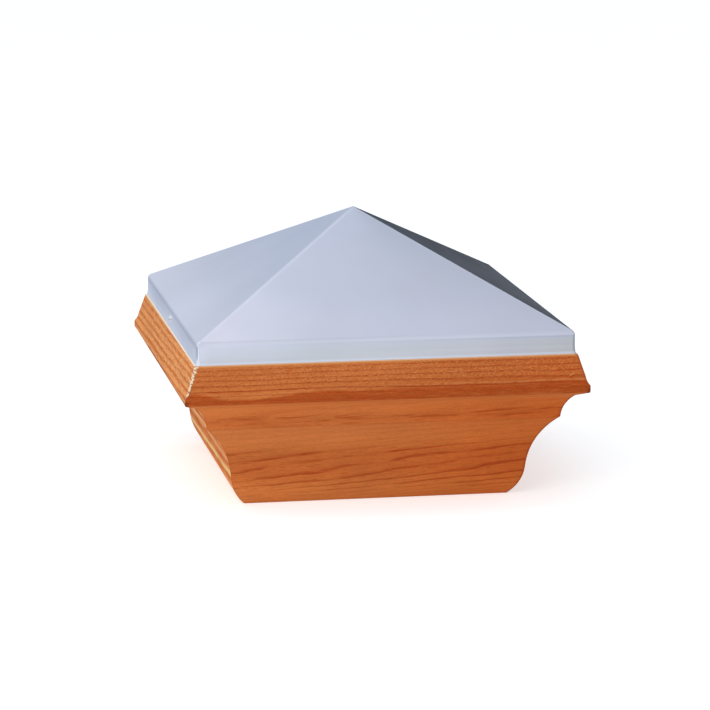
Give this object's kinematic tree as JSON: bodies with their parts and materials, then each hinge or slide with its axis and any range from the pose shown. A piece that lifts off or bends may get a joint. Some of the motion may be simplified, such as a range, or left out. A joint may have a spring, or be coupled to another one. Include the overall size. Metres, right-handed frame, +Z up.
{
  "type": "fence post cap",
  "caption": "Fence post cap: a moulded, mitred wooden frame that slips over a square post, closed by a plywood deck and a pyramid roof of pressed sheet metal.",
  "frame": {"origin": "centre of the frame's flat underside", "axes": "+Z up along the post, -Y towards the front, +X to the right; the two pinned sides of the roof face -X and +X"},
  "size_m": [0.167, 0.167, 0.1137],
  "materials": {
    "roof_sheet": "smooth satin stainless sheet",
    "pin_steel": "bright dome-head pins",
    "plywood": "bare exterior plywood",
    "zinc_plated_steel": "zinc plated",
    "stained_cedar": "straight-grained cedar with a clear reddish stain"
  },
  "bodies": {
    "root": {"roof_cap": "roof_sheet", "roof_pins": "pin_steel", "deck_board": "plywood", "deck_screws": "zinc_plated_steel", "mitre_nails": "zinc_plated_steel", "rail_front": "stained_cedar", "rail_back": "stained_cedar", "rail_left": "stained_cedar", "rail_right": "stained_cedar"}
  },
  "joints": []
}
